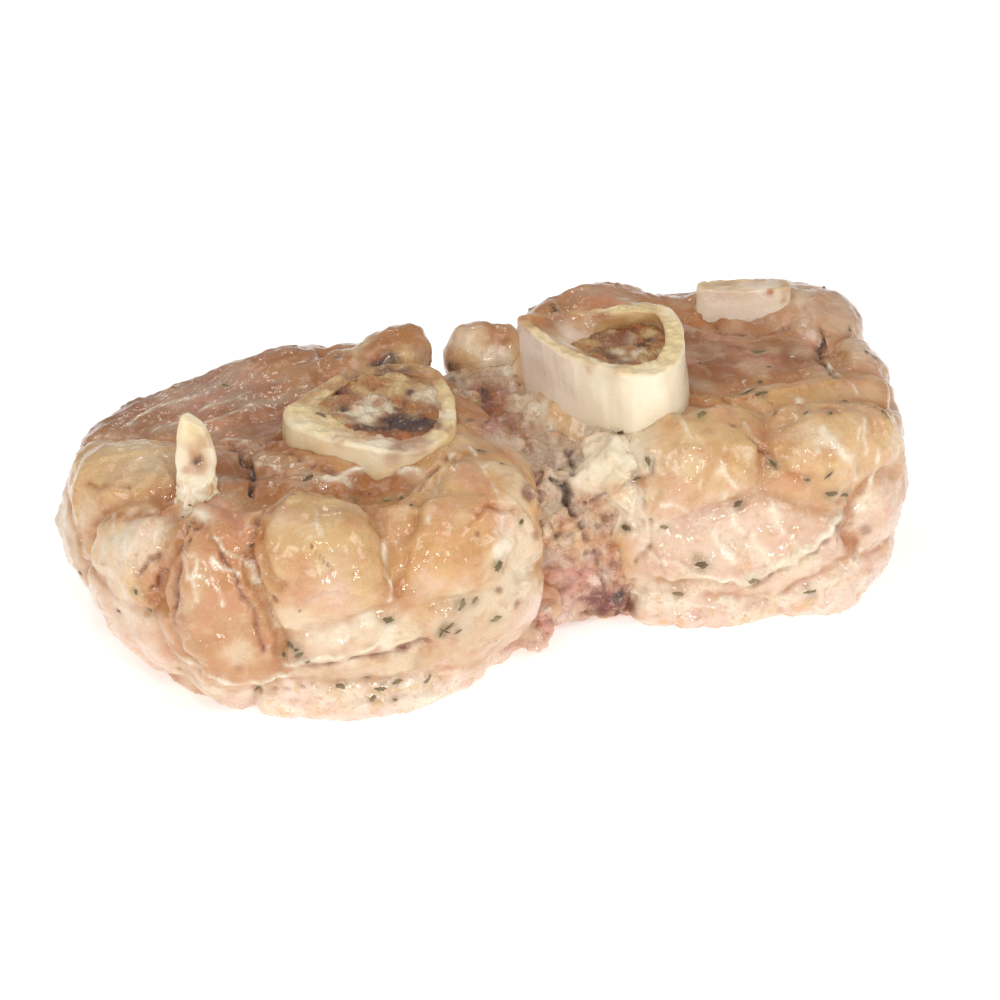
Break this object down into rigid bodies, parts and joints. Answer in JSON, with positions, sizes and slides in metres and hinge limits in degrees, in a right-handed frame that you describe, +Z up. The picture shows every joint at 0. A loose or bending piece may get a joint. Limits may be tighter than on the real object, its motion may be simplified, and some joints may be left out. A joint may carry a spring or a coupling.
{
  "type": "pork osso buco confit",
  "caption": "Slow-cooked pork shank slices with sawn marrow bones, stuck side by side by their set jelly and dotted with herbs.",
  "frame": {"origin": "middle of the pair's outline, on the surface that it rests on", "axes": "+X along the pair, from the left slice to the right one; +Z up, out of the sawn faces of the bones"},
  "size_m": [0.1822, 0.0914, 0.0573],
  "materials": {
    "meat": "moist, slightly glossy cooked pork",
    "bone": "sawn ivory bone, satin",
    "marrow": "crumbly cooked marrow, satin",
    "jelly": "set cooking jelly, wet gloss"
  },
  "bodies": {
    "root": {"left_meat": "meat", "right_meat": "meat", "left_marrow_bone": "bone", "right_marrow_bone": "bone", "left_small_bone": "bone", "right_small_bone": "bone", "left_marrow": "marrow", "right_marrow": "marrow", "jelly": "jelly"}
  },
  "joints": []
}
